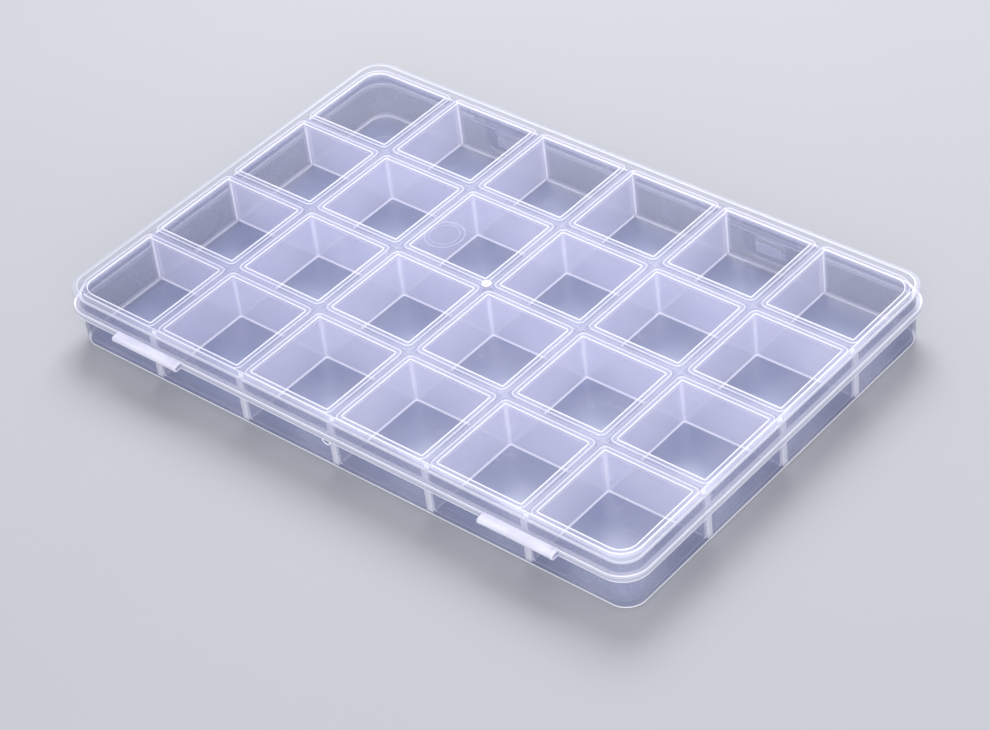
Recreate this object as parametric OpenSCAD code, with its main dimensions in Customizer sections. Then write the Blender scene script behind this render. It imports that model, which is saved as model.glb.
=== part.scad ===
// Parts sorting tray: a flat hinged box with 24 fixed compartments.
// The tray and its lid are joined along the front by two folded straps,
// and two windowed snap tongues on the lid hold it shut at the back.
// Frame: X along the long side, +Y to the latch side, +Z up.
// The origin is the centre of the underside.

/* [Compartments] */
// Distance between the cross dividers, along the long side
pitch_x = 31; // [28:0.5:40]
// Distance between the row dividers, along the short side
pitch_y = 30.6; // [28:0.1:40]
// Thickness of every divider
divider_t = 1.1; // [0.8:0.1:1.3]

/* [Tray] */
// Thickness of the outer wall
wall_t = 0.85; // [0.7:0.05:0.9]
// Thickness of the floor
floor_t = 1.2; // [0.8:0.1:1.6]
// Height of the outer wall above the underside
wall_top = 14.8; // [13:0.1:14.8]
// Height of the dividers above the underside
divider_top = 16.2; // [15:0.1:16.2]
// Outer radius of the upright corners
corner_r = 6; // [5.5:0.1:6.5]
// How far the rim and the lid stand out from the wall
overhang = 1.6; // [1.5:0.1:2]
// Underside of the rim that the lid closes down to
rim_bottom = 10; // [9.5:0.1:10.2]
// Top of the rim
rim_top = 11.7; // [11.4:0.1:11.7]

/* [Lid] */
// Height of the closed lid above the underside
lid_top = 17.6; // [17.4:0.1:18]
// Thickness of the lid's panel
panel_t = 1.1; // [0.9:0.1:1.1]
// Thickness of the lid's skirt
skirt_t = 0.9; // [0.8:0.05:0.95]
// Gap between the skirt's lower edge and the rim
skirt_gap = 0.1; // [0.1:0.05:0.2]
// Distance from a divider's centre line to the ring rib beside it
ring_inset = 1.05; // [1.05:0.05:1.2]
// Width of a ring rib
ring_w = 1.25; // [1:0.05:1.4]
// Depth of a ring rib below the panel
ring_depth = 1.6; // [0.8:0.1:1.6]

/* [Hinge straps] */
// Width of a strap, along the hinge
strap_w = 23; // [18:0.5:26]
// Thickness of a strap's leaves
leaf_t = 0.45; // [0.4:0.05:0.5]
// Distance of the fold from the tray's wall
fold_out = 3.75; // [3.6:0.05:4]
// Height of the fold above the underside
fold_z = 11.2; // [11:0.1:11.4]
// Height at which the upper leaf leaves the lid's skirt
lid_leaf_z = 12.1; // [12.1:0.1:12.8]
// Height at which the lower leaf leaves the tray's rim
base_leaf_z = 10.5; // [10.4:0.05:10.6]

/* [Latches] */
// Distance of each latch from the middle of the back
latch_x = 44.3; // [40:0.1:48]
// Width of a latch tongue
latch_w = 18.3; // [16:0.1:20]
// Lower end of a latch tongue
latch_bottom = 1.5; // [1.2:0.1:2]
// Radius of a tongue's lower corners
latch_r = 2.8; // [2:0.1:3.5]
// Width of the window in a tongue
window_w = 9.2; // [9:0.1:10]
// Lower edge of the window
window_bottom = 4.2; // [4:0.1:4.3]
// Height of the window
window_h = 4.2; // [4:0.1:4.5]
// Width of the catch that stands in the window
catch_w = 8.2; // [7:0.1:8.4]
// How far the catch stands out from the wall
catch_out = 1.4; // [1.2:0.05:1.5]
// Width of the gap in the rim that a tongue passes through
notch_w = 24.5; // [22:0.5:26]

/* [Hidden] */
$fn = 96;
columns = 6;
rows = 4;

// Half sizes of the tray's outer wall and of the closed lid.
half_x = columns * pitch_x / 2;
half_y = rows * pitch_y / 2;
lid_half_x = half_x + overhang;
lid_half_y = half_y + overhang;

// Middles of the upright corners' arcs, which the wall, rim and skirt share.
arc_x = half_x - corner_r;
arc_y = half_y - corner_r;

panel_bottom = lid_top - panel_t;
skirt_bottom = rim_top + skirt_gap;

// The fold of the straps is the axis that the lid turns about.
fold_y = -half_y - fold_out;
strap_x = pitch_x * (columns / 2 - 1);
bead_r = 0.4;
bead_gap = 0.45;

// Ring ribs: plain corners, and those at the box's own corners.
ring_r = 1.5;
ring_inner_r = 0.5;
box_ring_r = 6;
box_ring_inner_r = 4.6;

// Latch tongue and catch.
latch_gap = 0.15;
latch_top = skirt_bottom - latch_gap;
catch_gap = 0.4;
catch_bottom = window_bottom + catch_gap;
catch_lip = 1.2;
catch_h = 3.2;

// ---- shapes that repeat ----

module clear_plastic() { color("lavender", 0.45) children(); }
module frosted_plastic() { color("ghostwhite", 0.75) children(); }
module white_plastic() { color("white") children(); }

// A box from its lowest corner to its highest.
module block(low, high) { translate(low) cube(high - low); }

// The part of a corner's square that lies outside its rounding.
module spandrel(r) {
    difference() {
        square(r);
        circle(r);
    }
}

// A rectangle about the origin, with its own radius at each corner.
// The radii run anticlockwise from the corner at +X +Y.
module outline(size, radii) {
    difference() {
        square(size, center = true);
        for (i = [0:3]) {
            side_x = (i == 0 || i == 3) ? 1 : -1;
            side_y = (i < 2) ? 1 : -1;
            r = radii[i];
            translate([side_x * (size.x / 2 - r), side_y * (size.y / 2 - r)])
                scale([side_x, side_y]) spandrel(r);
        }
    }
}

// An upright band along the front or the back, between the corners.
module band_y(side, from, to, low, high, ends = [-arc_x, arc_x]) {
    near = min(side * from, side * to);
    far = max(side * from, side * to);
    block([ends[0], near, low], [ends[1], far, high]);
}

// An upright band along the left or the right end, between the corners.
module band_x(side, from, to, low, high) {
    near = min(side * from, side * to);
    far = max(side * from, side * to);
    block([near, -arc_y, low], [far, arc_y, high]);
}

// The four quarter-round corners that join the bands.
module corner_bands(from_r, to_r, low, high) {
    for (i = [0:3]) {
        side_x = (i == 0 || i == 3) ? 1 : -1;
        side_y = (i < 2) ? 1 : -1;
        translate([side_x * arc_x, side_y * arc_y, low])
            rotate([0, 0, 90 * i])
                rotate_extrude(angle = 90)
                    translate([from_r, 0]) square([to_r - from_r, high - low]);
    }
}

// ---- tray ----

module floor_panel() {
    clear_plastic() linear_extrude(floor_t)
        outline([2 * half_x, 2 * half_y], [corner_r, corner_r, corner_r, corner_r]);
}

module long_wall(side) {
    clear_plastic() band_y(side, half_y - wall_t, half_y, floor_t, wall_top);
}

module end_wall(side) {
    clear_plastic() band_x(side, half_x - wall_t, half_x, floor_t, wall_top);
}

module corner_walls() {
    clear_plastic() corner_bands(corner_r - wall_t, corner_r, floor_t, wall_top);
}

// A divider along the whole box, counted from the front.
module row_divider(i) {
    y = i * pitch_y - half_y;
    inside = half_x - wall_t;
    frosted_plastic()
        block([-inside, y - divider_t / 2, floor_t], [inside, y + divider_t / 2, divider_top]);
}

// A divider across the box, counted from the left: one plate in each row.
module cross_divider(i) {
    x = i * pitch_x - half_x;
    frosted_plastic() for (row = [0:rows - 1]) {
        front = row * pitch_y - half_y + (row == 0 ? wall_t : divider_t / 2);
        back = (row + 1) * pitch_y - half_y - (row == rows - 1 ? wall_t : divider_t / 2);
        block([x - divider_t / 2, front, floor_t], [x + divider_t / 2, back, divider_top]);
    }
}

module front_rim() {
    clear_plastic() band_y(-1, half_y, lid_half_y, rim_bottom, rim_top);
}

// The back rim is open where the latch tongues pass.
module back_rim() {
    inner = latch_x - notch_w / 2;
    outer = latch_x + notch_w / 2;
    clear_plastic() for (ends = [[-arc_x, -outer], [-inner, inner], [outer, arc_x]])
        band_y(1, half_y, lid_half_y, rim_bottom, rim_top, ends);
}

module end_rim(side) {
    clear_plastic() band_x(side, half_x, lid_half_x, rim_bottom, rim_top);
}

module corner_rims() {
    clear_plastic() corner_bands(corner_r, corner_r + overhang, rim_bottom, rim_top);
}

// A wedge on the back wall: flat underneath, sloped above so the tongue rides over it.
module latch_catch(side) {
    profile = [
        [half_y, catch_bottom],
        [half_y + catch_out, catch_bottom],
        [half_y + catch_out, catch_bottom + catch_lip],
        [half_y, catch_bottom + catch_h]];
    clear_plastic() translate([side * latch_x - catch_w / 2, 0, 0])
        rotate([90, 0, 90]) linear_extrude(catch_w) polygon(profile);
}

// ---- hinge straps ----

// Outline of a leaf in the Y-Z plane, from the face it grows out of to the fold.
module leaf_profile(root_z) {
    tip = [fold_y, fold_z];
    root = [-lid_half_y, root_z];
    along = (root - tip) / norm(root - tip);
    across = [-along.y, along.x] * leaf_t / 2;
    past = root + along * leaf_t;
    difference() {
        polygon([tip - across, past - across, past + across, tip + across]);
        translate([-lid_half_y, root_z - 2]) square(4);
    }
}

module along_strap(side) {
    translate([side * strap_x - strap_w / 2, 0, 0])
        rotate([90, 0, 90]) linear_extrude(strap_w) children();
}

// The lower leaf ends in the bead that the fold turns about.
module strap_lower_leaf(side) {
    white_plastic() along_strap(side) {
        leaf_profile(base_leaf_z);
        translate([fold_y, fold_z]) circle(bead_r);
    }
}

module strap_upper_leaf(side) {
    white_plastic() along_strap(side) difference() {
        leaf_profile(lid_leaf_z);
        translate([fold_y, fold_z]) circle(bead_r + bead_gap);
    }
}

// ---- lid ----

module lid_panel() {
    r = corner_r + overhang;
    clear_plastic() translate([0, 0, panel_bottom]) linear_extrude(panel_t)
        outline([2 * lid_half_x, 2 * lid_half_y], [r, r, r, r]);
}

module long_skirt(side) {
    clear_plastic()
        band_y(side, lid_half_y - skirt_t, lid_half_y, skirt_bottom, panel_bottom);
}

module end_skirt(side) {
    clear_plastic()
        band_x(side, lid_half_x - skirt_t, lid_half_x, skirt_bottom, panel_bottom);
}

module lid_corner_skirts() {
    r = corner_r + overhang;
    clear_plastic() corner_bands(r - skirt_t, r, skirt_bottom, panel_bottom);
}

// Radii of one compartment's ring, larger where it sits in a corner of the box.
function ring_radii(column, row, plain, boxed) = [
    column == columns - 1 && row == rows - 1 ? boxed : plain,
    column == 0 && row == rows - 1 ? boxed : plain,
    column == 0 && row == 0 ? boxed : plain,
    column == columns - 1 && row == 0 ? boxed : plain];

// A rib under the lid that reaches down inside one compartment.
module cell_ring(column, row) {
    outer = [pitch_x, pitch_y] - 2 * [ring_inset, ring_inset];
    inner = outer - 2 * [ring_w, ring_w];
    middle = [(column + 0.5) * pitch_x - half_x, (row + 0.5) * pitch_y - half_y];
    translate([middle.x, middle.y, panel_bottom - ring_depth])
        linear_extrude(ring_depth) difference() {
            outline(outer, ring_radii(column, row, ring_r, box_ring_r));
            outline(inner, ring_radii(column, row, ring_inner_r, box_ring_inner_r));
        }
}

// One row of rings, counted from the front.
module lid_rings(row) {
    clear_plastic() for (column = [0:columns - 1]) cell_ring(column, row - 1);
}

// ---- latches ----

// A snap tongue with a window that the catch stands in.
module latch(side) {
    height = latch_top - latch_bottom;
    clear_plastic() translate([side * latch_x, lid_half_y, 0])
        rotate([90, 0, 0]) linear_extrude(skirt_t) difference() {
            translate([0, (latch_top + latch_bottom) / 2])
                outline([latch_w, height], [0.01, 0.01, latch_r, latch_r]);
            translate([-window_w / 2, window_bottom]) square([window_w, window_h]);
        }
}

floor_panel();
long_wall(-1);  // front_wall
long_wall(1);  // back_wall
end_wall(-1);  // left_wall
end_wall(1);  // right_wall
corner_walls();
row_divider(1);  // row_divider_front
row_divider(2);  // row_divider_middle
row_divider(3);  // row_divider_back
cross_divider(1);  // cross_divider_1
cross_divider(2);  // cross_divider_2
cross_divider(3);  // cross_divider_3
cross_divider(4);  // cross_divider_4
cross_divider(5);  // cross_divider_5
front_rim();
back_rim();
end_rim(-1);  // left_rim
end_rim(1);  // right_rim
corner_rims();
latch_catch(-1);  // left_catch
latch_catch(1);  // right_catch
strap_lower_leaf(-1);  // left_strap_lower_leaf
strap_lower_leaf(1);  // right_strap_lower_leaf
lid_panel();
long_skirt(-1);  // lid_front_skirt
long_skirt(1);  // lid_back_skirt
end_skirt(-1);  // lid_left_skirt
end_skirt(1);  // lid_right_skirt
lid_corner_skirts();
lid_rings(1);  // lid_rings_row_1
lid_rings(2);  // lid_rings_row_2
lid_rings(3);  // lid_rings_row_3
lid_rings(4);  // lid_rings_row_4
strap_upper_leaf(-1);  // left_strap_upper_leaf
strap_upper_leaf(1);  // right_strap_upper_leaf
latch(-1);  // left_latch
latch(1);  // right_latch
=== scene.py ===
# %% [markdown]
# # A parts sorting tray
# This flat box is two thin mouldings of clear polypropylene. The tray is one piece with its
# floor, wall, dividers and rim. The lid is one piece with its skirt, its ring ribs and its two
# snap tongues. Two folded white straps join them along the front.
#
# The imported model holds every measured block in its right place. The cells below put a finished
# shape over each block, with the rounded edges, draft and fillets that a moulding has.

# %% Load the frame
import math

import bmesh
import bpy
from mathutils import Matrix, Vector


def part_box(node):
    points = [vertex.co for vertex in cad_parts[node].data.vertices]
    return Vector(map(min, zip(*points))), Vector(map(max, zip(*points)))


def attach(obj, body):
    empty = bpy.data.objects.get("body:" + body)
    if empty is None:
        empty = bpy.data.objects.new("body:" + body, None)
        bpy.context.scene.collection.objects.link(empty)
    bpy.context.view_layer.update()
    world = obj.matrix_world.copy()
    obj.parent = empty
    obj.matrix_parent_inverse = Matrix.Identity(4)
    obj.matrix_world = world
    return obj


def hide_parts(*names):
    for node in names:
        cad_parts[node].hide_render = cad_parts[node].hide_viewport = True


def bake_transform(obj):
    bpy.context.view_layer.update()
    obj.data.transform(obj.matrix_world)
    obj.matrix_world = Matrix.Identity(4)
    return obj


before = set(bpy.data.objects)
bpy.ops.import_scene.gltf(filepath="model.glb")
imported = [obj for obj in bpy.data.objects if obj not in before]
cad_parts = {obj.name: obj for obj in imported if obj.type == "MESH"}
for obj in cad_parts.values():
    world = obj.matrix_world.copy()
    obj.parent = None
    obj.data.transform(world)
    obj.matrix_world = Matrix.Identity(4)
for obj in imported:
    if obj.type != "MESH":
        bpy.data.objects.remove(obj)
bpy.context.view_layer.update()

scene = bpy.context.scene
MM = 0.001

# %% [markdown]
# ## Sizes
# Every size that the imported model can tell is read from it, so that a change to the model carries
# over. Lengths are kept in millimetres, because that is how a moulding is drawn, and they become
# metres only where a vertex is made.

# %% Read the sizes
def box_mm(node):
    """A node's lowest and highest corners, in millimetres."""
    return [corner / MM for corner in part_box(node)]


floor_high = box_mm("floor_panel")[1]
lid_low, lid_high = box_mm("lid_panel")
rim_low, rim_high = box_mm("left_rim")
wall_low, wall_high = box_mm("front_wall")
skirt_low, skirt_high = box_mm("lid_front_skirt")
row_low, row_high = box_mm("row_divider_middle")
ring_low, ring_high = box_mm("lid_rings_row_1")

COLUMNS, ROWS = 6, 4
HALF_X, HALF_Y = floor_high.x, floor_high.y
PITCH_X, PITCH_Y = 2 * HALF_X / COLUMNS, 2 * HALF_Y / ROWS
FLOOR_TOP = floor_high.z
WALL = wall_high.y - wall_low.y
WALL_TOP = wall_high.z
DIVIDER = row_high.y - row_low.y
DIVIDER_TOP = row_high.z
OUT = lid_high.x - HALF_X
RIM_LOW, RIM_TOP = rim_low.z, rim_high.z
LIP = skirt_low.z
SKIRT = skirt_high.y - skirt_low.y
PANEL_LOW, LID_TOP = lid_low.z, lid_high.z
CORNER = 6.0  # radius of the wall's upright corners
ARC_X, ARC_Y = HALF_X - CORNER, HALF_Y - CORNER
print(f"compartments {PITCH_X:.2f} x {PITCH_Y:.2f} mm, wall {WALL:.2f} mm, lid at {LID_TOP:.1f} mm")

# %% [markdown]
# ## Writing shader sums as expressions
# A material made of nodes is a formula. A small class wraps a node's output, so that `1 - mask`
# or `glow * 0.4 + 0.2` adds the Math nodes by itself. One method adds every other kind of node:
# its settings come first, and then the values or wires of its sockets.

# %% A wire and a recipe
class Wire:
    """One output of a node, on which sums can be written."""

    def __init__(self, recipe, socket):
        self.recipe, self.socket = recipe, socket

    def sum(self, operation, first, second):
        return self.recipe.add("ShaderNodeMath", {"operation": operation}, [first, second])

    def __add__(self, other):
        return self.sum("ADD", self, other)

    def __sub__(self, other):
        return self.sum("SUBTRACT", self, other)

    def __rsub__(self, other):
        return self.sum("SUBTRACT", other, self)

    def __mul__(self, other):
        return self.sum("MULTIPLY", self, other)

    __radd__, __rmul__ = __add__, __mul__

    def most(self, other):
        return self.sum("MAXIMUM", self, other)

    def least(self, other):
        return self.sum("MINIMUM", self, other)

    def fade(self, start, end):
        """0 at start, 1 at end, and smooth between; start may be the larger."""
        return self.recipe.add("ShaderNodeMapRange", {"interpolation_type": "SMOOTHSTEP"},
                               {"Value": self, "From Min": start, "From Max": end})


class Recipe:
    """The node tree of one material."""

    def __init__(self, name):
        self.material = bpy.data.materials.new(name)
        self.material.use_nodes = True
        self.tree = self.material.node_tree
        self.tree.nodes.clear()

    def add(self, kind, settings=None, inputs=(), output=0):
        node = self.tree.nodes.new(kind)
        for key, value in (settings or {}).items():
            setattr(node, key, value)
        pairs = inputs.items() if isinstance(inputs, dict) else enumerate(inputs)
        for key, value in pairs:
            if isinstance(value, Wire):
                self.tree.links.new(value.socket, node.inputs[key])
            else:
                node.inputs[key].default_value = value
        return Wire(self, node.outputs[output]) if node.outputs else None

    def mix(self, factor, first, second):
        """A colour between two colours."""
        return self.add("ShaderNodeMix", {"data_type": "RGBA"},
                        {0: factor, 6: first, 7: second}, output=2)

    def place(self):
        return self.add("ShaderNodeTexCoord", output="Object")

    def noise(self, scale, detail=2.0, stretch=(1, 1, 1)):
        place = self.add("ShaderNodeMapping", inputs={"Vector": self.place(), "Scale": stretch})
        return self.add("ShaderNodeTexNoise", inputs={"Vector": place, "Scale": scale,
                                                      "Detail": detail})

    def attribute(self, name):
        return self.add("ShaderNodeAttribute", {"attribute_name": name}, output="Fac")


def tint(red, green, blue):
    """A colour given as on a screen, 0 to 255, in the linear values that nodes use."""
    def linear(value):
        value /= 255
        return value / 12.92 if value <= 0.04045 else ((value + 0.055) / 1.055) ** 2.4
    return (linear(red), linear(green), linear(blue), 1.0)


print("shader helpers are ready")

# %% [markdown]
# ## The plastics
# Clear polypropylene is never fully clear. It is a little milky and blue, cloudier where the
# moulding is thick, and nearly white along its edges and fillets, where the light that runs
# inside the sheet comes out. That edge light is painted: each piece carries a number called glow,
# 1 on its edges and 0 on its flats, and the recipe turns glow into a whiter colour, a painted glow
# of emission and a higher opacity. The flats get a faint painted glow of emission too, for the
# light scattered inside the sheet.
#
# The rest is what a used moulding shows: faint clouds from the flow of the melt, an uneven
# polish, hair scratches and a very fine ripple.

# %% The plastic recipe
def dimmed(colour, share):
    return tuple(value * share for value in colour[:3]) + (1.0,)


def plastic(name, body, bright, see, see_edge, polish, clouds=0.05, glow=None, tone=None,
            see_tone=0.3, inner=0.06, shine=0.2, base=None):
    """A milky moulded plastic; see and see_edge are its opacity on flats and on edges."""
    recipe = Recipe(name)
    glow = glow(recipe) if glow else recipe.attribute("glow")
    flow = recipe.noise(70, 4.0)
    drift = recipe.noise(24, 2.0, (1.0, 2.2, 1.0))
    hair = recipe.noise(260, 3.0, (0.22, 7.0, 1.0)).fade(0.68, 0.78)
    haze = (flow - 0.5) * 2.0 * clouds + (drift - 0.5) * clouds
    flat, opacity = body, see
    if tone:
        share = base(recipe) if base else recipe.attribute("base")
        flat = recipe.mix(share, body, tone)
        opacity = share * (see_tone - see) + see
    flat = recipe.mix(flow.fade(0.35, 0.75) * 0.12, flat, bright)
    # Painted highlight: glow mixes the colour towards the bright white along the edges.
    colour = recipe.mix(glow, flat, bright)
    alpha = (haze + opacity + glow * (see_edge - opacity) + hair * 0.03).most(0.02).least(1.0)
    rough = flow * 0.16 + hair * 0.1 + polish
    ripple = recipe.noise(350, 2.0)
    bump = recipe.add("ShaderNodeBump", {}, {"Strength": 0.05, "Distance": 0.0002,
                                             "Height": ripple * 0.6 + flow})
    # Painted glow: the emission is body times inner on the flats and bright times shine on the
    # edges.
    light = recipe.mix(glow, dimmed(body, inner), dimmed(bright, shine))
    shader = recipe.add("ShaderNodeBsdfPrincipled", {}, {
        "Base Color": colour, "Roughness": rough, "Alpha": alpha, "Normal": bump, "IOR": 1.49,
        "Emission Color": light, "Emission Strength": 1.0})
    recipe.add("ShaderNodeOutputMaterial", {}, {"Surface": shader})
    recipe.material.cycles.emission_sampling = "NONE"
    print(f"{name}: opacity {see} on flats, {see_edge} on edges")
    return recipe.material


BODY = tint(151, 157, 186)
FROST = tint(203, 203, 227)
DULL = tint(112, 118, 150)
# BRIGHT is the white of the painted edge light, and the tint of the faint clouds.
BRIGHT = tint(248, 247, 255)
FLOOR = tint(150, 158, 194)
WALLS = tint(133, 139, 170)

print("six tints of the plastic are named")

# %% [markdown]
# ## Glow from place
# The dividers are seen on edge, on their faces and at their feet all at once. Their glow is
# worked out from where a point is: it rises at the foot, along the top, and in the upright
# fillets where two dividers cross or meet the wall. Their top edges are a duller grey.

# %% The dividers' glow
def divider_place(recipe):
    """How far a point is from the grid's lines, and how high it is."""
    spot = recipe.add("ShaderNodeSeparateXYZ", {}, [recipe.place()])
    across, along, height = (Wire(recipe, spot.socket.node.outputs[k]) for k in range(3))

    def from_line(value, pitch):
        return value.sum("PINGPONG", value + 8 * pitch * MM, pitch * MM / 2)

    return across, along, height, from_line(across, PITCH_X), from_line(along, PITCH_Y)


def divider_top(recipe):
    height = divider_place(recipe)[2]
    return height.fade((DIVIDER_TOP - 0.3) * MM, (DIVIDER_TOP - 0.05) * MM)


def divider_glow(recipe):
    across, along, height, to_cross, to_row = divider_place(recipe)
    meeting = to_cross.most(to_row).fade(1.6 * MM, 0.95 * MM)
    outer = across.sum("ABSOLUTE", across, 0).fade((HALF_X - 2.4) * MM, (HALF_X - 1.4) * MM).most(
        along.sum("ABSOLUTE", along, 0).fade((HALF_Y - 2.4) * MM, (HALF_Y - 1.4) * MM))
    foot = height.fade((FLOOR_TOP + 0.7) * MM, (FLOOR_TOP + 0.25) * MM)
    brow = height.fade((DIVIDER_TOP - 0.6) * MM, (DIVIDER_TOP - 0.35) * MM)
    # Painted light: the feet, the top's edge and the meeting fillets are painted whiter and
    # glowing.
    glow = (meeting * (outer * 0.6 + 0.35)).most(foot * (0.75 - outer * 0.6)).most(brow * 0.3)
    return glow * (1 - divider_top(recipe) * 0.9)


print("the dividers' glow is ready")

# %% [markdown]
# A divider ends against the outer wall, and there the two are one thick lump of plastic. From
# outside it shows as an upright pale band, so the tray's shell adds such a band wherever a grid
# line meets its wall: partly the thick plastic's own whiter tone, partly painted light, as the
# band feeds the glow. The mask has to leave the rim and the round corners alone.

# %% The tray's glow, and four of the plastics
def tray_glow(recipe):
    """The shell's own edges, and an upright band where a divider ends on the outer wall."""
    across, along, height, to_cross, to_row = divider_place(recipe)
    side_x, side_y = (value.sum("ABSOLUTE", value, 0) for value in (across, along))

    def ends(to_line, depth, half_depth, span, half_span):
        on_wall = depth.fade((half_depth - 1.1) * MM, (half_depth - 1.0) * MM) * depth.fade(
            (half_depth + 0.3) * MM, (half_depth + 0.1) * MM)
        straight = span.fade((half_span - CORNER) * MM, (half_span - CORNER - 1) * MM)
        return to_line.fade(1.15 * MM, 0.9 * MM) * on_wall * straight

    band = ends(to_cross, side_y, HALF_Y, side_x, HALF_X).most(
        ends(to_row, side_x, HALF_X, side_y, HALF_Y))
    above = height.fade((FLOOR_TOP - 0.2) * MM, (FLOOR_TOP + 0.2) * MM)
    # The band is partly the thick plastic's own whiter tone and partly painted light: a whiter,
    # glowing stripe.
    return recipe.attribute("glow").most(band * above * 0.5)


clear_tray = plastic("clear_tray", WALLS, BRIGHT, 0.52, 0.95, 0.17, tone=FLOOR, see_tone=0.7,
                     glow=tray_glow)
clear_lid = plastic("clear_lid", BODY, BRIGHT, 0.05, 0.85, 0.10, clouds=0.02, tone=FROST,
                    see_tone=0.15)
clear_rib = plastic("clear_rib", FROST, BRIGHT, 0.12, 0.95, 0.16, clouds=0.02)
frosted_divider = plastic("frosted_divider", FROST, BRIGHT, 0.55, 0.90, 0.30, inner=0.15,
                          glow=divider_glow, tone=DULL, see_tone=0.6, base=divider_top)

# %% [markdown]
# ## Sweeping a profile round the box
# The tray and the lid are both one section carried round a rounded rectangle. The section is
# drawn as a few corners, each with its own rounding and glow. The path knows its outward
# direction at every step, so the same section gives straight walls and round corners. The
# other way, bevelling every edge of a box, would not let each edge have its own brightness.

# %% Rounded sections
def rounded(corners, steps=4, reach=0.4):
    """Corners of (out, up, radius, glow) become points of (out, up, glow)."""
    points = []
    for index, (out, up, radius, glow) in enumerate(corners):
        here = Vector((out, up))
        if index in (0, len(corners) - 1) or radius == 0:
            points.append((out, up, glow))
            continue
        before = Vector(corners[index - 1][:2]) - here
        after = Vector(corners[index + 1][:2]) - here
        start, end = (here + side.normalized() * radius for side in (before, after))
        if before.length > 2.5 * (radius + reach):
            points.append((*(start + before.normalized() * reach), 0.0))
        for step in range(steps + 1):
            t = step / steps
            spot = start * (1 - t) ** 2 + here * 2 * t * (1 - t) + end * t ** 2
            points.append((*spot, glow))
        if after.length > 2.5 * (radius + reach):
            points.append((*(end + after.normalized() * reach), 0.0))
    return points


# %% The path round the box
def box_path(stations=(), steps=14):
    """(base point, outward direction) round the box; stations are places along the back."""
    path = []
    for quarter in range(4):
        side_x = 1 if quarter in (0, 3) else -1
        side_y = 1 if quarter < 2 else -1
        for step in range(steps + 1):
            angle = math.pi / 2 * (quarter + step / steps)
            path.append((Vector((side_x * ARC_X, side_y * ARC_Y)),
                         Vector((math.cos(angle), math.sin(angle)))))
        if quarter == 0:
            path += [(Vector((x, ARC_Y)), Vector((0, 1))) for x in sorted(stations)[::-1]]
    return path


# %% Making a mesh
def make_piece(name, vertices, faces, material, values=None, smooth=35):
    """An object at the origin from points in millimetres, with its own per-point numbers."""
    mesh = bpy.data.meshes.new(name)
    mesh.from_pydata([Vector(v) * MM for v in vertices], [], faces)
    for key, numbers in (values or {}).items():
        mesh.attributes.new(key, "FLOAT", "POINT").data.foreach_set("value", numbers)
    return show_mesh(name, mesh, material, smooth)


def show_mesh(name, mesh, material, smooth=35):
    mesh.materials.clear()
    mesh.materials.append(material)
    mesh.shade_smooth()
    mesh.set_sharp_from_angle(angle=math.radians(smooth))
    piece = bpy.data.objects.new(name, mesh)
    scene.collection.objects.link(piece)
    print(f"{name}: {len(mesh.polygons)} faces")
    return piece


def sweep(name, section, path, material, base, shrink=None):
    """Carry a section round the path, and close its first and last loops with flat faces."""
    vertices, glow, deep = [], [], []
    for index, (start, way) in enumerate(path):
        for out, up, shine in section:
            if shrink:
                out = shrink(index, out)
            spot = start + way * (CORNER + out)
            vertices.append((spot.x, spot.y, up))
            glow.append(shine)
            deep.append(base(out, up))
    turns, points = len(path), len(section)
    faces = []
    for i in range(turns):
        after = (i + 1) % turns
        for j in range(points - 1):
            faces.append((i * points + j, after * points + j,
                          after * points + j + 1, i * points + j + 1))
    faces.append([i * points for i in reversed(range(turns))])
    faces.append([i * points + points - 1 for i in range(turns)])
    return make_piece(name, vertices, faces, material, {"glow": glow, "base": deep})


print("sweep helpers are ready")

# %% [markdown]
# ## The tray's shell
# Floor, wall and rim are one moulding. The rim stops at two gaps in the back where the snap
# tongues pass, so there the section draws its rim in to the wall. The wall leans out a little
# from bottom to top, which is the draft that lets a moulding leave its mould.

# %% Tray shell
latch_low, latch_high = box_mm("left_latch")
LATCH_X = -(latch_low.x + latch_high.x) / 2
NOTCH = 24.5  # width of the rim's gap for a tongue
STEP = 0.02  # length of the step in which the rim draws in
gaps = sorted(side * LATCH_X + end * NOTCH / 2 for side in (-1, 1) for end in (-1, 1))
tray_path = box_path([gap + push for gap in gaps for push in (-STEP, STEP)])


def in_gap(start, way):
    return way.y > 0.99 and abs(abs(start.x) - LATCH_X) < NOTCH / 2


def draw_in(index, out):
    """Pull the rim in to the wall where a snap tongue passes."""
    start, way = tray_path[index]
    return out * 0.04 if out > 0 and in_gap(start, way) else out


LEAN = 0.14  # how far the wall leans in from its rim to its foot
# The last number of each corner is its glow, painted light: the foot's outer edge is painted as a
# bright glowing line, and the rim's edges, the wall's top and the floor's fillet get fainter ones.
tray_section = rounded([
    (-4.0, 0.0, 0, 0.0),
    (-LEAN, 0.0, 0.5, 1.0),
    (0.0, RIM_LOW, 0.12, 0.3),
    (0.6, RIM_LOW, 0, 0.3),
    (OUT - 0.6, RIM_LOW, 0, 0.3),
    (OUT, RIM_LOW, 0.22, 0.85),
    (OUT, RIM_LOW + 0.5, 0, 0.35),
    (OUT, RIM_TOP - 0.45, 0, 0.35),
    (OUT, RIM_TOP, 0.22, 0.5),
    (OUT - 0.6, RIM_TOP, 0, 0.35),
    (0.6, RIM_TOP, 0, 0.35),
    (0.0, RIM_TOP, 0.12, 0.45),
    (0.0, WALL_TOP, 0.25, 0.6),
    (-WALL, WALL_TOP, 0.25, 0.6),
    (-WALL - LEAN, FLOOR_TOP, 0.5, 0.15),
    (-4.0, FLOOR_TOP, 0, 0.0)], reach=0.2)
tray_shell = sweep("tray_shell", tray_section, tray_path, clear_tray,
                   lambda out, up: float(out < -3), draw_in)
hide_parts("floor_panel", "front_wall", "back_wall", "left_wall", "right_wall",
            "corner_walls", "front_rim", "back_rim", "left_rim", "right_rim", "corner_rims")
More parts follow.
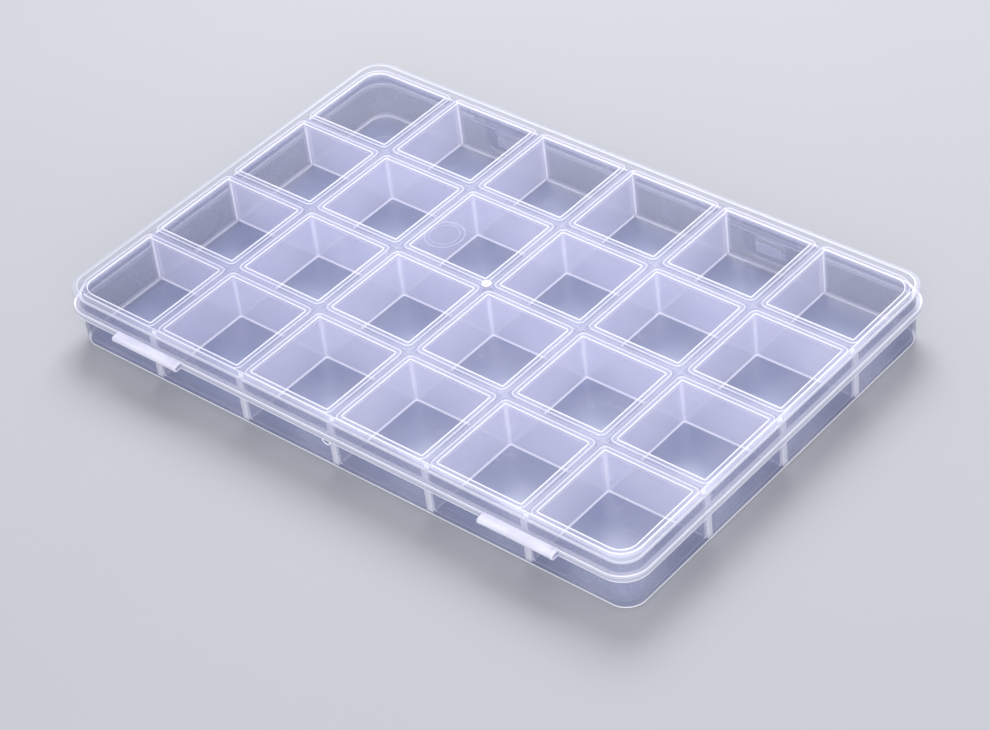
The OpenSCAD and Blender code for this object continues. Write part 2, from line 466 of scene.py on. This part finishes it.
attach(tray_shell, "tray")

# %% [markdown]
# ## The dividers
# Mould makers cut each compartment as a block of steel, so the dividers are what is left between
# the blocks. The same is done here: one pocket shape, with round corners, draft and a small
# fillet at its foot, is set on a 6 by 4 grid of points and cut out of one slab. The slab stops
# at the wall's inner face, and each pocket next to the wall reaches just past it, so that every
# divider flares where it meets the wall.

# %% The pocket
POCKET_R = 0.6  # radius of a pocket's upright corners
SUNK = 0.15  # how far the dividers go into the floor


def pocket_loops():
    """Rings of (height, divider thickness, corner radius) from the bottom to the top."""
    foot = FLOOR_TOP
    return [(foot - 2 * SUNK, DIVIDER + 1.0, POCKET_R),
            (foot + 0.02, DIVIDER + 0.86, POCKET_R),
            (foot + 0.14, DIVIDER + 0.50, POCKET_R),
            (foot + 0.40, DIVIDER + 0.22, POCKET_R),
            (DIVIDER_TOP - 0.22, DIVIDER - 0.16, POCKET_R),
            (DIVIDER_TOP - 0.06, DIVIDER - 0.28, POCKET_R + 0.05),
            (DIVIDER_TOP + 0.02, DIVIDER - 0.46, POCKET_R + 0.1),
            (DIVIDER_TOP + 0.3, DIVIDER - 0.46, POCKET_R + 0.1)]


def round_box(half_x, half_y, radius, steps=5):
    """Points anticlockwise round a rectangle with round corners."""
    points = []
    for quarter in range(4):
        side_x = 1 if quarter in (0, 3) else -1
        side_y = 1 if quarter < 2 else -1
        for step in range(steps + 1):
            angle = math.pi / 2 * (quarter + step / steps)
            points.append((side_x * (half_x - radius) + radius * math.cos(angle),
                           side_y * (half_y - radius) + radius * math.sin(angle)))
    return points


def stack(name, loops, material):
    """Skin a stack of loops of equal length, from the lowest up, and close both ends."""
    size = len(loops[0])
    vertices = [point for loop in loops for point in loop]
    faces = [list(reversed(range(size)))]
    for level in range(len(loops) - 1):
        for i in range(size):
            after = (i + 1) % size
            low, high = level * size, (level + 1) * size
            faces.append((low + i, low + after, high + after, high + i))
    faces.append([(len(loops) - 1) * size + i for i in range(size)])
    return make_piece(name, vertices, faces, material)


pocket = stack("pocket", [
    [(x, y, height) for x, y in round_box((PITCH_X - thick) / 2, (PITCH_Y - thick) / 2, radius)]
    for height, thick, radius in pocket_loops()], frosted_divider)
slab = stack("slab", [
    [(x, y, height) for x, y in round_box(HALF_X - WALL, HALF_Y - WALL, CORNER - WALL, steps=12)]
    for height in (FLOOR_TOP - SUNK, DIVIDER_TOP)], frosted_divider)

# %% [markdown]
# A Geometry Nodes tree repeats and cuts. It takes the slab as its geometry and has named inputs
# for the pocket, the counts and the pitches. A helper below adds nodes to a tree in the same
# manner as the shader recipe, and another turns the evaluated result into a plain mesh.

# %% Geometry Nodes helpers
class Tree:
    """A Geometry Nodes tree with named inputs."""

    def __init__(self, name, inputs):
        self.group = bpy.data.node_groups.new(name, "GeometryNodeTree")
        face = self.group.interface
        face.new_socket("Geometry", in_out="OUTPUT", socket_type="NodeSocketGeometry")
        face.new_socket("Geometry", in_out="INPUT", socket_type="NodeSocketGeometry")
        for key, kind in inputs.items():
            face.new_socket(key, in_out="INPUT", socket_type=kind)
        self.given = self.group.nodes.new("NodeGroupInput").outputs

    def add(self, kind, settings=None, inputs=None, output=0):
        node = self.group.nodes.new(kind)
        for key, value in (settings or {}).items():
            setattr(node, key, value)
        for key, value in (inputs or {}).items():
            if isinstance(value, bpy.types.NodeSocket):
                self.group.links.new(value, node.inputs[key])
            else:
                node.inputs[key].default_value = value
        return node.outputs[output]

    def sum(self, operation, *values):
        node = self.group.nodes.new("ShaderNodeMath")
        node.operation = operation
        for key, value in enumerate(values):
            if isinstance(value, bpy.types.NodeSocket):
                self.group.links.new(value, node.inputs[key])
            else:
                node.inputs[key].default_value = value
        return node.outputs[0]

    def finish(self, geometry, material):
        plain = self.add("GeometryNodeRealizeInstances", {}, {"Geometry": geometry})
        done = self.add("GeometryNodeSetMaterial", {}, {"Geometry": plain, "Material": material})
        result = self.group.nodes.new("NodeGroupOutput")
        self.group.links.new(done, result.inputs[0])


def grow(carrier, tree, values, name, material, smooth=35):
    """Run a tree on a carrier object, keep the result as a plain mesh, drop the carrier."""
    modifier = carrier.modifiers.new("tree", "NODES")
    modifier.node_group = tree.group
    for item in tree.group.interface.items_tree:
        if item.in_out == "INPUT" and item.name in values:
            modifier[item.identifier] = values[item.name]
    carrier.update_tag()
    bpy.context.view_layer.update()
    ready = carrier.evaluated_get(bpy.context.evaluated_depsgraph_get())
    mesh = bpy.data.meshes.new_from_object(ready)
    carrier.modifiers.remove(modifier)
    bpy.data.objects.remove(carrier)
    mesh.name = name
    return show_mesh(name, mesh, material, smooth)


# %% Cut the pockets
cutting = Tree("cut_pockets", {
    "Pocket": "NodeSocketObject", "Columns": "NodeSocketInt", "Rows": "NodeSocketInt",
    "Pitch X": "NodeSocketFloat", "Pitch Y": "NodeSocketFloat"})
given = cutting.given
size_x = cutting.sum("MULTIPLY", given["Pitch X"], cutting.sum("SUBTRACT", given["Columns"], 1))
size_y = cutting.sum("MULTIPLY", given["Pitch Y"], cutting.sum("SUBTRACT", given["Rows"], 1))
centres = cutting.add("GeometryNodeMeshGrid", {}, {
    "Size X": size_x, "Size Y": size_y, "Vertices X": given["Columns"],
    "Vertices Y": given["Rows"]})
shape = cutting.add("GeometryNodeObjectInfo", {"transform_space": "ORIGINAL"},
                    {"Object": given["Pocket"]}, output="Geometry")
pockets = cutting.add("GeometryNodeInstanceOnPoints", {}, {"Points": centres, "Instance": shape})
loose = cutting.add("GeometryNodeRealizeInstances", {}, {"Geometry": pockets})
cut = cutting.add("GeometryNodeMeshBoolean", {"operation": "DIFFERENCE", "solver": "EXACT"},
                  {"Mesh 1": given["Geometry"], "Mesh 2": loose})
cutting.finish(cut, frosted_divider)

divider_grid = grow(slab, cutting, {
    "Pocket": pocket, "Columns": COLUMNS, "Rows": ROWS,
    "Pitch X": PITCH_X * MM, "Pitch Y": PITCH_Y * MM}, "divider_grid", frosted_divider)
bpy.data.objects.remove(pocket)
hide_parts("row_divider_front", "row_divider_middle", "row_divider_back",
            "cross_divider_1", "cross_divider_2", "cross_divider_3", "cross_divider_4",
            "cross_divider_5")
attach(divider_grid, "tray")

# %% [markdown]
# ## The lid's shell
# The lid is the tray's opposite: a flat panel with a skirt that hangs down to the tray's rim.
# Its top edge is well rounded and shows as a broad bright band, because the panel and the skirt
# meet under it in one thick corner; the band is painted light, from the section's glow. Its lower
# lip is a thin bright line, painted the same way.

# %% Lid shell
SKIN = 0.04  # the marks on the lid rise this much to the lid's full height
LID_FACE = LID_TOP - SKIN
# The glow numbers paint the top edge's broad band and the lip's thin line: painted highlights.
lid_section = rounded([
    (-6.0, PANEL_LOW, 0, 0.0),
    (OUT - SKIRT, PANEL_LOW, 0.45, 0.15),
    (OUT - SKIRT, LIP, 0.15, 0.3),
    (OUT, LIP, 0.28, 1.0),
    (OUT, LIP + 0.5, 0, 1.0),
    (OUT, LIP + 0.75, 0, 0.0),
    (OUT - 0.1, LID_FACE, 0.75, 0.3),
    (0.05, LID_FACE, 0, 0.24)], reach=0.2)
lid_section += [(-0.02, LID_FACE, 0.6), (-0.24, LID_FACE, 0.6), (-0.34, LID_FACE, 0.0),
                (-6.0, LID_FACE, 0.0)]
lid_shell = sweep("lid_shell", lid_section, box_path(), clear_lid,
                  lambda out, up: float(up < PANEL_LOW - 0.1))
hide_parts("lid_panel", "lid_front_skirt", "lid_back_skirt", "lid_left_skirt",
            "lid_right_skirt", "lid_corner_skirts")
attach(lid_shell, "lid")

# %% [markdown]
# ## The ring ribs
# Under the lid, each compartment has a rib in a closed ring that reaches down just inside the
# dividers, so that small parts can't creep from one compartment to the next. All 24 are the
# same loop on a grid of points. Only the four loops at the box's own corners differ, and only at
# one corner each, so the Fillet Curve node is given a radius that grows near those corners.

# %% The rib's section
RING_GAP = ring_low.x + HALF_X
RING_W = 1.25
RING_R, BOX_RING_R = 1.0, 5.3  # corner radii, plain and at the box's own corners
edge, deep = RING_W / 2, ring_high.z - ring_low.z
# The third number of each point is its glow: the rib's bright edge lines are painted highlights,
# the outer line fainter than the inner one.
half_section = [(edge - 0.14, 0.14, 0.0), (edge + 0.06, 0.14, 1.0), (edge + 0.13, 0.0, 1.0),
                (edge + 0.01, -0.13, 1.0), (edge - 0.01, -0.24, 0.6), (edge - 0.02, -0.36, 0.0),
                (edge - 0.13, 0.34 - deep, 0.0), (edge - 0.15, 0.2 - deep, 0.2),
                (edge - 0.25, 0.03 - deep, 0.2), (edge - 0.4, -deep, 0.03)]
OUTER_SHARE = 0.75  # the ring's outer line is fainter than its inner one
rib_points = [(x, z, number * OUTER_SHARE) for x, z, number in half_section]
rib_points += [(-x, z, number) for x, z, number in reversed(half_section)]
section = bpy.data.meshes.new("rib_section")
section.from_pydata([(x * MM, -z * MM, 0) for x, z, _ in rib_points],
                    [(k, (k + 1) % len(rib_points)) for k in range(len(rib_points))], [])
section.attributes.new("glow", "FLOAT", "POINT").data.foreach_set(
    "value", [number for _, _, number in rib_points])
section = bpy.data.objects.new("rib_section", section)
scene.collection.objects.link(section)
print("rib section:", len(rib_points), "points")

# %% Grow the ribs
ribs = Tree("ring_ribs", {
    "Section": "NodeSocketObject", "Columns": "NodeSocketInt", "Rows": "NodeSocketInt",
    "Pitch X": "NodeSocketFloat", "Pitch Y": "NodeSocketFloat", "Inset": "NodeSocketFloat",
    "Width": "NodeSocketFloat", "Radius": "NodeSocketFloat",
    "Corner Radius": "NodeSocketFloat"})
given = ribs.given
steps_x = ribs.sum("SUBTRACT", given["Columns"], 1)
steps_y = ribs.sum("SUBTRACT", given["Rows"], 1)
centres = ribs.add("GeometryNodeMeshGrid", {}, {
    "Size X": ribs.sum("MULTIPLY", given["Pitch X"], steps_x),
    "Size Y": ribs.sum("MULTIPLY", given["Pitch Y"], steps_y),
    "Vertices X": given["Columns"], "Vertices Y": given["Rows"]})
lost = ribs.sum("ADD", ribs.sum("MULTIPLY", given["Inset"], 2), given["Width"])
loop = ribs.add("GeometryNodeCurvePrimitiveQuadrilateral", {"mode": "RECTANGLE"}, {
    "Width": ribs.sum("SUBTRACT", given["Pitch X"], lost),
    "Height": ribs.sum("SUBTRACT", given["Pitch Y"], lost)})
loops = ribs.add("GeometryNodeInstanceOnPoints", {}, {"Points": centres, "Instance": loop})
loops = ribs.add("GeometryNodeRealizeInstances", {}, {"Geometry": loops})

spot = ribs.group.nodes.new("ShaderNodeSeparateXYZ")
ribs.group.links.new(ribs.add("GeometryNodeInputPosition"), spot.inputs[0])
limits = [ribs.sum("MULTIPLY", ribs.sum("MULTIPLY", given[pitch], given[count]), 0.5)
          for pitch, count in (("Pitch X", "Columns"), ("Pitch Y", "Rows"))]
near = [ribs.sum("GREATER_THAN", ribs.sum("ABSOLUTE", spot.outputs[k]),
                 ribs.sum("SUBTRACT", limits[k], lost)) for k in (0, 1)]
outermost = ribs.sum("MULTIPLY", *near)
extra = ribs.sum("SUBTRACT", given["Corner Radius"], given["Radius"])
radius = ribs.sum("ADD", given["Radius"], ribs.sum("MULTIPLY", outermost, extra))
turned = ribs.add("GeometryNodeFilletCurve", {"mode": "POLY"}, {
    "Curve": loops, "Count": 8, "Radius": radius})

flank = ribs.add("GeometryNodeObjectInfo", {"transform_space": "ORIGINAL"},
                 {"Object": given["Section"]}, output="Geometry")
flank = ribs.add("GeometryNodeMeshToCurve", {}, {"Mesh": flank})
solid = ribs.add("GeometryNodeCurveToMesh", {}, {"Curve": turned, "Profile Curve": flank})
ribs.finish(solid, clear_rib)

carrier = make_piece("carrier", [(0, 0, 0)], [], clear_rib)
ring_ribs = grow(carrier, ribs, {
    "Section": section, "Columns": COLUMNS, "Rows": ROWS, "Pitch X": PITCH_X * MM,
    "Pitch Y": PITCH_Y * MM, "Inset": RING_GAP * MM, "Width": RING_W * MM,
    "Radius": RING_R * MM, "Corner Radius": BOX_RING_R * MM}, "ring_ribs", clear_rib)
bpy.data.objects.remove(section)
for vertex in ring_ribs.data.vertices:
    vertex.co.z += PANEL_LOW * MM
print("ribs reach down to", round(min(v.co.z for v in ring_ribs.data.vertices) / MM, 2), "mm")
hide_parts("lid_rings_row_1", "lid_rings_row_2", "lid_rings_row_3",
            "lid_rings_row_4")
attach(ring_ribs, "lid")

# %% [markdown]
# ## The hinge straps
# Each strap is a strip of white plastic folded once, with one end on the tray's rim and the
# other on the lid's skirt. It opens flat as the lid turns. Both ends have a narrow thicker edge.
# The strip is one mesh.

# %% The strap's material
def strap_plastic():
    recipe = Recipe("strap_white")
    crease = recipe.attribute("glow")
    cloud = recipe.noise(220, 3.0, (0.5, 2.0, 2.0))
    grain = recipe.noise(1600, 2.0, (0.25, 1.0, 1.0))
    colour = recipe.mix(cloud.fade(0.3, 0.7), tint(207, 207, 228), tint(226, 226, 244))
    colour = recipe.mix(crease * 0.6, colour, tint(240, 240, 250))
    bump = recipe.add("ShaderNodeBump", {}, {"Strength": 0.3, "Distance": 0.0002,
                                             "Height": grain * 0.5 + cloud})
    shader = recipe.add("ShaderNodeBsdfPrincipled", {}, {
        "Base Color": colour, "Roughness": cloud * 0.2 + crease * 0.15 + 0.3,
        "Normal": bump, "IOR": 1.49})
    recipe.add("ShaderNodeOutputMaterial", {}, {"Surface": shader})
    return recipe.material


strap_white = strap_plastic()
print("strap material is ready")

# %% Strap shape
leaf_low, leaf_high = box_mm("left_strap_lower_leaf")
top_high = box_mm("left_strap_upper_leaf")[1]
BEAD = 0.4  # radius of the fold
LEAF = 0.45  # thickness of a leaf
FOLD = Vector((leaf_low.y + BEAD, leaf_high.z - BEAD))
print("the lid turns about y, z =", [round(v, 2) for v in FOLD])


def strap_line():
    """The strip's middle line in the Y-Z plane, from the tray's rim round to the lid."""
    face = -(HALF_Y + OUT)
    low, high = FOLD.y - 0.7, top_high.z - LEAF / 2
    line = [Vector((face + 0.3, low)), Vector((face, low))]
    start, end = Vector((FOLD.x + 0.5, low + 0.1)), Vector((FOLD.x + 0.5, FOLD.y + 0.6))
    bend = [Vector((FOLD.x - 0.32, start.y)), Vector((FOLD.x - 0.32, end.y))]
    for step in range(11):
        t = step / 10
        line.append(start * (1 - t) ** 3 + bend[0] * 3 * t * (1 - t) ** 2
                    + bend[1] * 3 * t ** 2 * (1 - t) + end * t ** 3)
    return line + [Vector((face, high)), Vector((face + 0.3, high))]


def strap(name, middle):
    line = strap_line()
    half = (leaf_high.x - leaf_low.x) / 2
    columns = [(-half, 0.8), (-half + 0.12, 1.0), (-half + 0.85, 1.0), (-half + 1.0, 0.72)]
    columns += [(-half + 1.0 + (2 * half - 2) * k / 12, 0.72) for k in range(1, 12)]
    columns += [(-x, thick) for x, thick in reversed(columns[:4])]
    count = len(line)
    vertices, glow = [], []
    for x, thick in columns:
        for side in (1, -1):
            for k, spot in enumerate(line):
                way = (line[min(k + 1, count - 1)] - line[max(k - 1, 0)]).normalized()
                across = Vector((way.y, -way.x)) * side * LEAF * thick * 0.6
                vertices.append((middle + x, spot.x + across.x, spot.y + across.y))
                glow.append(max(0.0, 1 - abs(k - (count - 1) / 2) / 3))
    faces = []
    ring = 2 * count

    def at(column, index):
        """Points run up the outer side of the strip, and back down its inner side."""
        k = index % ring
        return column * ring + (k if k < count else ring + count - 1 - k)

    for column in range(len(columns) - 1):
        for index in range(ring):
            faces.append((at(column, index), at(column, index + 1),
                          at(column + 1, index + 1), at(column + 1, index)))
    for column, order in ((0, 1), (len(columns) - 1, -1)):
        for k in range(count - 1):
            corner = [at(column, k), at(column, ring - 1 - k), at(column, ring - 2 - k),
                      at(column, k + 1)]
            faces.append(corner[::order])
    piece = make_piece(name, vertices, faces, strap_white, {"glow": glow}, smooth=40)
    sort = bmesh.new()
    sort.from_mesh(piece.data)
    bmesh.ops.recalc_face_normals(sort, faces=sort.faces)
    sort.to_mesh(piece.data)
    sort.free()
    return piece


for side, sign in (("left", -1), ("right", 1)):
    middle = sign * abs(leaf_low.x + leaf_high.x) / 2
    piece = strap(f"{side}_hinge_strap", middle)
    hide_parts(f"{side}_strap_lower_leaf", f"{side}_strap_upper_leaf")
    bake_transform(piece)

# %% [markdown]
# ## The snap tongues and their catches
# Each tongue is a tab of the lid's skirt that hangs over the back wall. A window in it drops
# over a wedge on the tray. A finger bends the tongue outward to free it. The tongue is a grid
# of faces with the window left out, thickened by Solidify and rounded by Bevel.

# %% Tongue
def tongue(name, middle):
    half, low = (latch_high.x - latch_low.x) / 2, latch_low.z
    radius, window, sill, head = 2.8, 4.6, 4.2, 8.4
    root = LIP + 0.35
    heights = [low + radius * (1 - math.cos(math.pi / 2 * k / 6)) for k in range(7)]
    heights += [5.3, 6.3, 7.4, head, 9.0, 9.6, 10.2, 10.7, 11.1, 11.45, 11.8, root]
    heights = sorted({round(z, 4) for z in heights} | {sill})
    inner = [-half + radius, -window, -2.3, 0, 2.3, window, half - radius]
    grid = []
    for z in heights:
        drop = min(1.0, (z - low) / radius)
        reach = half - radius + max(0.25, radius * math.sqrt(max(0, 1 - (1 - drop) ** 2)))
        outer = [half - radius + (reach - half + radius) * share for share in (0.5, 1.0)]
        grid.append([(-x, z) for x in outer[::-1]] + [(x, z) for x in inner]
                    + [(x, z) for x in outer])
    back = HALF_Y + OUT - SKIRT + 0.05
    wide = len(grid[0])
    vertices = [(middle + x, back, z) for line in grid for x, z in line]
    faces = []
    for row in range(len(grid) - 1):
        for k in range(wide - 1):
            centre_x = (grid[row][k][0] + grid[row][k + 1][0]) / 2
            centre_z = (heights[row] + heights[row + 1]) / 2
            if abs(centre_x) < window and sill < centre_z < head:
                continue
            start = row * wide + k
            faces.append((start, start + wide, start + wide + 1, start + 1))
    piece = make_piece(name, vertices, faces, clear_tongue)
    thick = piece.modifiers.new("thick", "SOLIDIFY")
    thick.thickness, thick.offset = (SKIRT - 0.1) * MM, 1.0
    soft = piece.modifiers.new("soft", "BEVEL")
    soft.width, soft.segments, soft.limit_method = 0.16 * MM, 3, "ANGLE"
    soft.angle_limit = math.radians(50)
    bpy.context.view_layer.update()
    mesh = bpy.data.meshes.new_from_object(
        piece.evaluated_get(bpy.context.evaluated_depsgraph_get()))
    bpy.data.objects.remove(piece)
    piece = show_mesh(name, mesh, clear_tongue)
    # Painted highlight: glow rises within 0.35 mm of the tongue's sides, window and foot.
    near = mesh.attributes.new("glow", "FLOAT", "POINT").data
    for vertex, number in zip(mesh.vertices, near):
        x, z = abs(vertex.co.x / MM - middle), vertex.co.z / MM
        to_side = half - x
        to_window = math.hypot(max(0, x - window), max(0, sill - z, z - head))
        close = min(to_side, to_window, z - low)
        if z < low + radius and x > half - radius:
            close = min(close, radius - math.hypot(x - half + radius, z - low - radius))
        number.value = max(0.0, 1 - close / 0.35)
    return piece


clear_tongue = plastic("clear_tongue", BODY, BRIGHT, 0.22, 0.85, 0.12)
for side, sign in (("left", -1), ("right", 1)):
    middle = sign * LATCH_X
    piece = tongue(f"{side}_snap_tongue", middle)
    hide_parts(f"{side}_latch")
    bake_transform(piece)

# %% [markdown]
# The catch is a small wedge: flat below, where it holds the window's edge, and sloped above, so
# that the tongue rides over it as the lid closes. It is moulded thick, so it looks frosted.

# %% Catch
clear_catch = plastic("clear_catch", FROST, BRIGHT, 0.85, 0.95, 0.24, clouds=0.04, inner=0.12,
                      shine=0.2)


def catch(name, node):
    low, high = box_mm(node)
    back = low.y - 0.12
    section = [(back, low.z + 0.02), (high.y, low.z + 0.02), (high.y, low.z + 1.2),
               (low.y + 0.02, high.z), (back, high.z)]
    vertices = [(x, y, z) for x in (low.x, high.x) for y, z in section]
    count = len(section)
    faces = [list(range(count))[::-1], list(range(count, 2 * count))]
    faces += [(k, (k + 1) % count, count + (k + 1) % count, count + k) for k in range(count)]
    piece = make_piece(name, vertices, faces, clear_catch)
    shape = bmesh.new()
    shape.from_mesh(piece.data)
    bmesh.ops.recalc_face_normals(shape, faces=shape.faces)
    bmesh.ops.bevel(shape, geom=shape.edges[:], offset=0.14 * MM, segments=3, profile=0.5,
                    affect="EDGES")
    shape.to_mesh(piece.data)
    shape.free()
    # Painted highlight: glow rises within 0.4 mm of the wedge's ends, top and bottom.
    number = piece.data.attributes.new("glow", "FLOAT", "POINT").data
    for vertex, value in zip(piece.data.vertices, number):
        x, z = vertex.co.x / MM, vertex.co.z / MM
        close = min(x - low.x, high.x - x, z - low.z, high.z - z)
        value.value = max(0.0, 1 - close / 0.4)
    return piece


for side in ("left", "right"):
    piece = catch(f"{side}_catch_wedge", f"{side}_catch")
    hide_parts(f"{side}_catch")
    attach(piece, "tray")

# %% [markdown]
# ## Mould marks
# A moulding keeps the prints of the pins that push it out of the mould and of the gate that the
# melt came through. They are only a few hundredths of a millimetre high, yet they catch the
# light, and that highlight is painted through each mark's glow. Each mark is a thin closed ring
# or button that lies on its surface.

# %% Rings and buttons
def lathe(name, centre, section, material, turn=None, steps=48, glow=0.6):
    """Turn a closed section of (radius, height) round an upright axis at the centre."""
    vertices, faces = [], []
    count = len(section)
    for step in range(steps):
        angle = 2 * math.pi * step / steps
        for radius, height in section:
            spot = Vector((radius * math.cos(angle), radius * math.sin(angle), height))
            vertices.append(Vector(centre) + (turn @ spot if turn else spot))
    for step in range(steps):
        after = (step + 1) % steps
        for k in range(count):
            faces.append((step * count + k, after * count + k,
                          after * count + (k + 1) % count, step * count + (k + 1) % count))
    return make_piece(name, vertices, faces, material, {"glow": [glow] * len(vertices)})


def ring_section(radius, width, rise, sink=0.05):
    """A low bump of the given width on a surface at height 0."""
    return [(radius - width / 2, -sink), (radius + width / 2, -sink),
            (radius + width / 2, rise * 0.5), (radius + width / 4, rise),
            (radius - width / 4, rise), (radius - width / 2, rise * 0.5)]


# Each mark's glow paints its highlight: the gate and the wall's pin mark are painted white and
# glowing, the other rings only faintly.
outer_mark = lathe("lid_pin_mark", (-22.6, 9.8, LID_FACE), ring_section(5.4, 0.24, SKIN), clear_rib,
                   glow=0.06)
inner_mark = lathe("lid_pin_mark_inner", (-22.6, 9.8, LID_FACE), ring_section(4.1, 0.22, SKIN),
                   clear_rib, glow=0.02)
gate = lathe("lid_gate", (0.0, 0.0, LID_FACE), ring_section(0.8, 0.9, SKIN), clear_rib, glow=1.0)
for piece in (outer_mark, inner_mark, gate):
    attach(piece, "lid")

stand_up = Matrix.Rotation(math.radians(90), 3, "X")
wall_mark = lathe("wall_pin_mark", (-2.2, -HALF_Y, 8.1), ring_section(1.25, 0.4, 0.12, 0.1),
                  clear_rib, turn=stand_up, glow=0.8)
floor_mark = lathe("floor_pin_mark", (-78.5, 46.5, FLOOR_TOP), ring_section(6.0, 0.4, 0.05),
                   clear_rib, glow=0.2)
for piece in (wall_mark, floor_mark):
    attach(piece, "tray")

# %% [markdown]
# ## Studio
# A pale, slightly grey floor lets the white edges of a clear object stand out. One broad soft
# light from above and behind adds real shine to the edges, on top of the glow painted into them,
# and a weaker one fills the front. Clear sheets lie many deep here, so a ray has to be allowed to
# pass through many of them.

# %% Floor, lights and world
def stage_material():
    recipe = Recipe("studio_floor")
    speck = recipe.noise(6, 3.0)
    colour = recipe.mix(speck, tint(163, 165, 171), tint(168, 170, 175))
    shader = recipe.add("ShaderNodeBsdfPrincipled", {}, {
        "Base Color": colour, "Roughness": 0.75})
    recipe.add("ShaderNodeOutputMaterial", {}, {"Surface": shader})
    return recipe.material


wide = 1500
ground = make_piece("studio_ground", [(-wide, -wide, -0.25), (wide, -wide, -0.25),
                                      (wide, wide, -0.25), (-wide, wide, -0.25)],
                    [(0, 1, 2, 3)], stage_material())


def soft_light(name, place, size, power, colour=(1, 1, 1)):
    light = bpy.data.lights.new(name, "AREA")
    light.shape, light.size, light.energy, light.color = "SQUARE", size, power, colour
    lamp = bpy.data.objects.new(name, light)
    scene.collection.objects.link(lamp)
    lamp.location = place
    lamp.rotation_euler = (-Vector(place)).to_track_quat("-Z", "Y").to_euler()


soft_light("key_light", (-0.35, 0.55, 0.75), 0.6, 10.0)
soft_light("fill_light", (0.7, -0.75, 0.6), 0.8, 6.5)
world = bpy.data.worlds.new("studio")
scene.world = world
world.use_nodes = True
world.node_tree.nodes["Background"].inputs["Color"].default_value = (0.96, 0.965, 1.0, 1)
world.node_tree.nodes["Background"].inputs["Strength"].default_value = 0.72
scene.view_settings.view_transform = "Standard"
scene.cycles.transparent_max_bounces = 64

# %% [markdown]
# ## Camera
# The camera stands above the near corner with a long lens, and leans a little to one side.

# %% Camera
lens = bpy.data.cameras.new("camera")
lens.lens, lens.sensor_width = 106.8, 36.0
lens.clip_start, lens.clip_end = 0.01, 20
camera = bpy.data.objects.new("camera", lens)
scene.collection.objects.link(camera)
look = Vector((-0.5397, 0.5493, -0.6379)).normalized()
right = Vector((0.7651, 0.6361, -0.0996))
right = (right - look * right.dot(look)).normalized()
up = right.cross(look)
camera.matrix_world = Matrix.Translation((0.4156, -0.4238, 0.4819)) @ Matrix(
    (right, up, -look)).transposed().to_4x4()
scene.camera = camera
print("camera looks along", [round(v, 3) for v in look])
